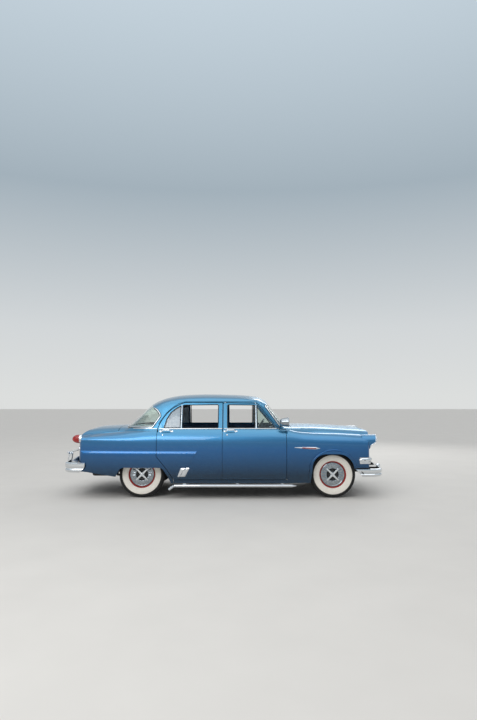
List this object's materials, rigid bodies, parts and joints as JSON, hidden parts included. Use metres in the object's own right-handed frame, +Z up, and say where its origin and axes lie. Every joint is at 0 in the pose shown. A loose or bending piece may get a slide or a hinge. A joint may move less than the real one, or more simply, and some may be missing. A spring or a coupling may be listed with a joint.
{
  "type": "four-door saloon car of the early 1950s",
  "caption": "Early 1950s four-door saloon car with opening doors, bonnet and boot, steered front wheels, chrome bumpers, swollen rear wings and a wraparound rear screen.",
  "frame": {"origin": "on the ground under the middle of the car's length and width", "axes": "+X forward, +Y to the car's left, +Z up"},
  "size_m": [5.024, 1.911, 1.5776],
  "materials": {
    "body_paint": "gloss metallic blue",
    "chassis_black": "satin black",
    "bright_trim": "polished",
    "window_glass": "clear",
    "engine_iron": "painted casting",
    "lamp_glass": "fluted",
    "red_lens": "moulded",
    "seat_cloth": "woven",
    "wheel_plastic": "moulded",
    "tyre_rubber": "moulded",
    "wheel_red": "gloss enamel"
  },
  "bodies": {
    "car": {"aprons": "chassis_black", "chassis_frame": "chassis_black", "cowl": "body_paint", "dashboard": "body_paint", "driveline": "engine_iron", "engine_block": "engine_iron", "firewall": "chassis_black", "floor_pan": "chassis_black", "front_bumper": "bright_trim", "front_fenders": "body_paint", "front_panel": "body_paint", "front_seat": "seat_cloth", "front_suspension": "engine_iron", "fuel_tank": "chassis_black", "grille": "bright_trim", "headlamps": "lamp_glass", "quarter_panels": "body_paint", "radiator": "chassis_black", "rear_bumper": "bright_trim", "rear_screen": "window_glass", "rear_seat": "seat_cloth", "roof_panel": "body_paint", "side_pipes": "bright_trim", "sills": "body_paint", "spotlights": "bright_trim", "tail_lamps": "red_lens", "tail_panel": "body_paint", "wheel_wells": "chassis_black", "windscreen": "window_glass"},
    "bonnet": {"bonnet": "body_paint"},
    "boot_lid": {"boot_lid": "body_paint"},
    "steering_wheel": {"steering_wheel": "wheel_plastic"},
    "knuckle_left": {"knuckle_left": "engine_iron"},
    "knuckle_right": {"knuckle_right": "engine_iron"},
    "front_door_left": {"front_door_left": "body_paint", "vent_glass_left": "window_glass"},
    "rear_door_left": {"rear_door_left": "body_paint", "quarter_glass_left": "window_glass"},
    "wheel_front_left": {"wheel_front_left": "wheel_red", "tyre_front_left": "tyre_rubber"},
    "wheel_rear_left": {"wheel_rear_left": "wheel_red", "tyre_rear_left": "tyre_rubber"},
    "front_door_right": {"front_door_right": "body_paint", "vent_glass_right": "window_glass"},
    "rear_door_right": {"rear_door_right": "body_paint", "quarter_glass_right": "window_glass"},
    "wheel_front_right": {"wheel_front_right": "wheel_red", "tyre_front_right": "tyre_rubber"},
    "wheel_rear_right": {"wheel_rear_right": "wheel_red", "tyre_rear_right": "tyre_rubber"}
  },
  "joints": [
    {"name": "steering", "type": "hinge", "parent": "car", "child": "steering_wheel", "pos_m": [0.56, 0.38, 0.96], "axis": [-0.85, 0, 0.5268], "range_deg": [-450, 450]},
    {"name": "steer_left", "type": "hinge", "parent": "car", "child": "knuckle_left", "pos_m": [1.672, 0.64, 0.35], "axis": [0, 0, 1], "range_deg": [-30, 30]},
    {"name": "spin_front_left", "type": "hinge", "parent": "knuckle_left", "child": "wheel_front_left", "pos_m": [1.672, 0.7365, 0.35], "axis": [0, 1, 0], "continuous": true},
    {"name": "spin_rear_left", "type": "hinge", "parent": "car", "child": "wheel_rear_left", "pos_m": [-1.249, 0.711, 0.35], "axis": [0, 1, 0], "continuous": true},
    {"name": "front_door_left_swing", "type": "hinge", "parent": "car", "child": "front_door_left", "pos_m": [0.99, 0.926, 0.65], "axis": [0, 0, -1], "range_deg": [0, 65]},
    {"name": "rear_door_left_swing", "type": "hinge", "parent": "car", "child": "rear_door_left", "pos_m": [0.018, 0.931, 0.65], "axis": [0, 0, -1], "range_deg": [0, 65]},
    {"name": "steer_right", "type": "hinge", "parent": "car", "child": "knuckle_right", "pos_m": [1.672, -0.64, 0.35], "axis": [0, 0, 1], "range_deg": [-30, 30]},
    {"name": "spin_front_right", "type": "hinge", "parent": "knuckle_right", "child": "wheel_front_right", "pos_m": [1.672, -0.7365, 0.35], "axis": [0, 1, 0], "continuous": true},
    {"name": "spin_rear_right", "type": "hinge", "parent": "car", "child": "wheel_rear_right", "pos_m": [-1.249, -0.711, 0.35], "axis": [0, 1, 0], "continuous": true},
    {"name": "front_door_right_swing", "type": "hinge", "parent": "car", "child": "front_door_right", "pos_m": [0.99, -0.926, 0.65], "axis": [0, 0, 1], "range_deg": [0, 65]},
    {"name": "rear_door_right_swing", "type": "hinge", "parent": "car", "child": "rear_door_right", "pos_m": [0.018, -0.931, 0.65], "axis": [0, 0, 1], "range_deg": [0, 65]},
    {"name": "bonnet_swing", "type": "hinge", "parent": "car", "child": "bonnet", "pos_m": [1.01, 0, 1.08], "axis": [0, -1, 0], "range_deg": [0, 45]},
    {"name": "boot_swing", "type": "hinge", "parent": "car", "child": "boot_lid", "pos_m": [-1.618, 0, 1.062], "axis": [0, 1, 0], "range_deg": [0, 55]}
  ],
  "couplings": [
    {"joint": "steer_left", "follows": "steering", "ratio": 0.066667},
    {"joint": "steer_right", "follows": "steering", "ratio": 0.066667}
  ]
}
